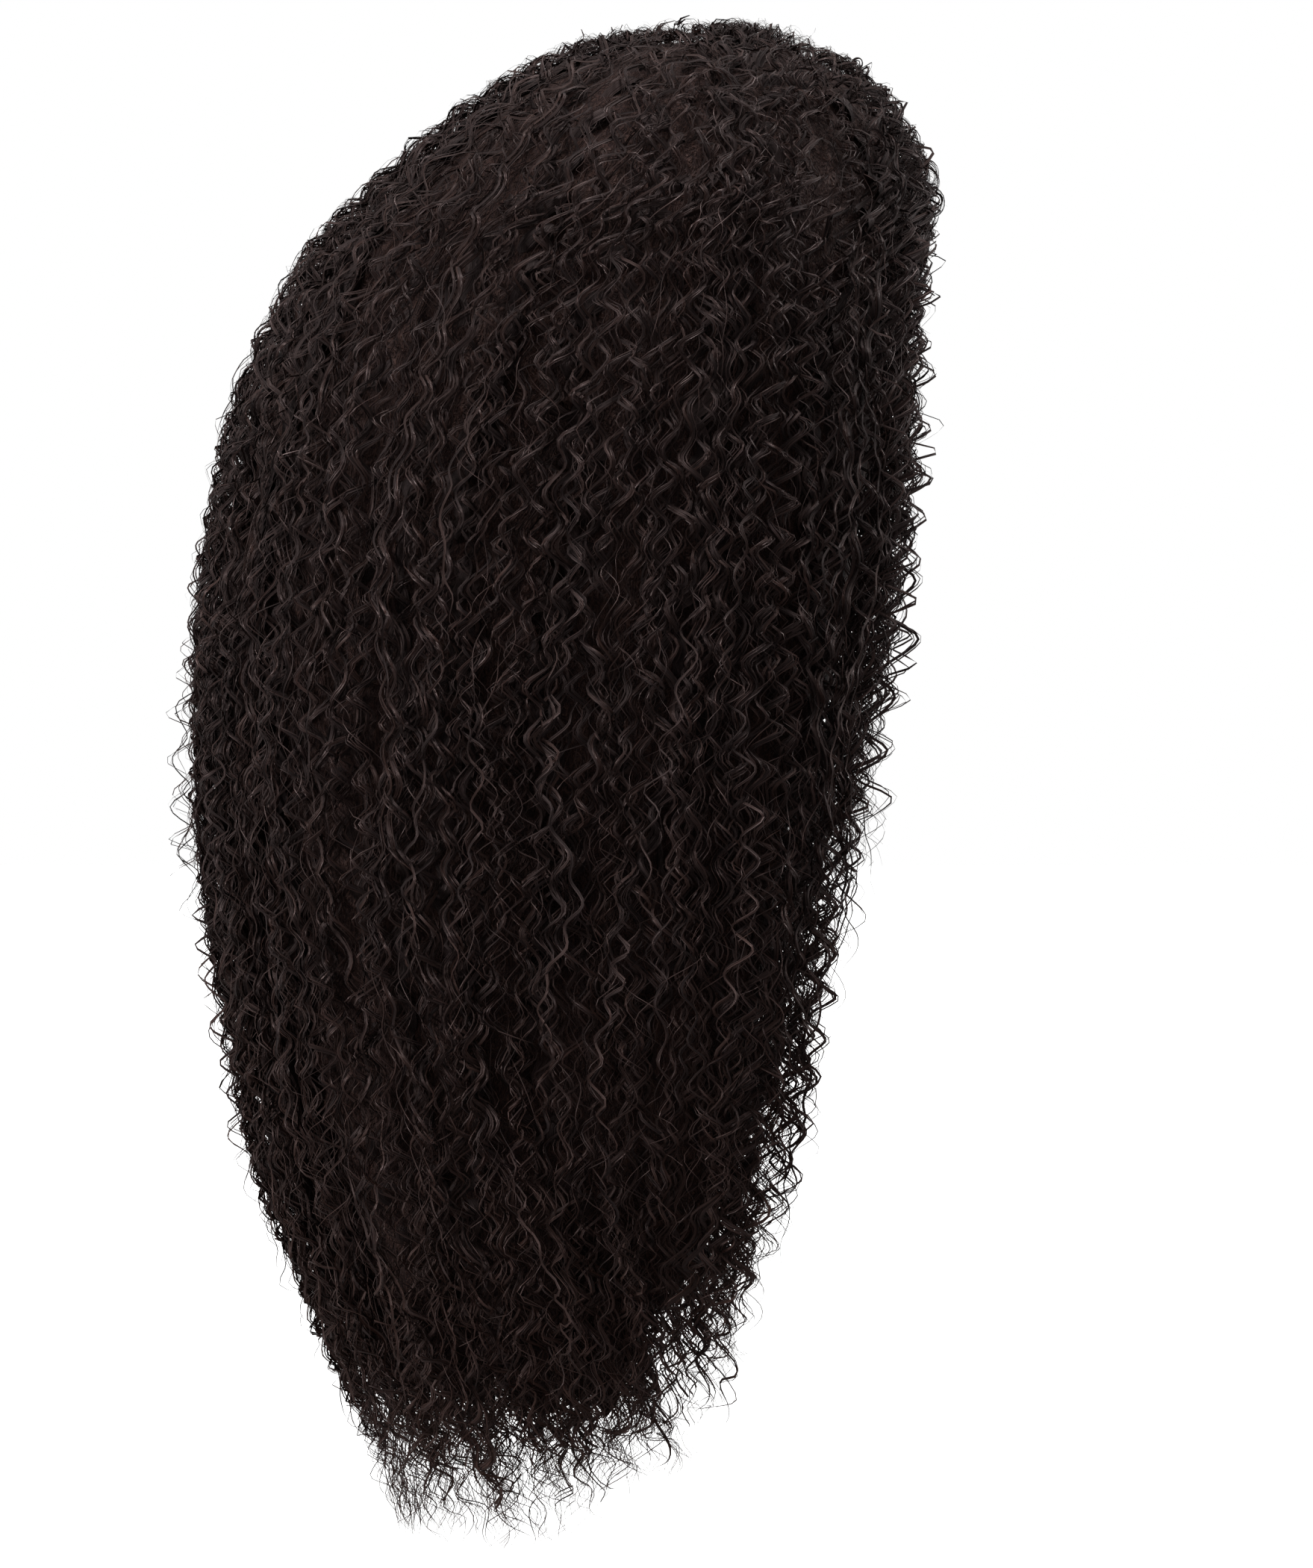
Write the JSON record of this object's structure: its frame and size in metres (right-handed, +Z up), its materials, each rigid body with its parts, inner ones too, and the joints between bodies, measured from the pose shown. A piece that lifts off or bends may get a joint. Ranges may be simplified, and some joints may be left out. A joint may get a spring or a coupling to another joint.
{
  "type": "curly half wig",
  "caption": "Long, full half wig of dark brown curly hair on a dome cap that is open for the face and the neck, with an edge band and combs inside that hold it on the head.",
  "frame": {"origin": "inside top of the cap, where the crown of the wearer's head meets it", "axes": "+Z up, -Y towards the face opening, +X towards the wearer's left"},
  "size_m": [0.2717, 0.2862, 0.5603],
  "materials": {
    "cap_net": "stretch net, matt, near black",
    "band_tape": "woven elastic tape, black",
    "comb_plastic": "moulded, dark brown, slightly glossy",
    "hair_fibre": "fine curled fibre, very dark brown, soft sheen, warmer brown where it thins"
  },
  "bodies": {
    "root": {"cap": "cap_net", "edge_band": "band_tape", "front_comb": "comb_plastic", "nape_comb": "comb_plastic", "hair": "hair_fibre"}
  },
  "joints": []
}
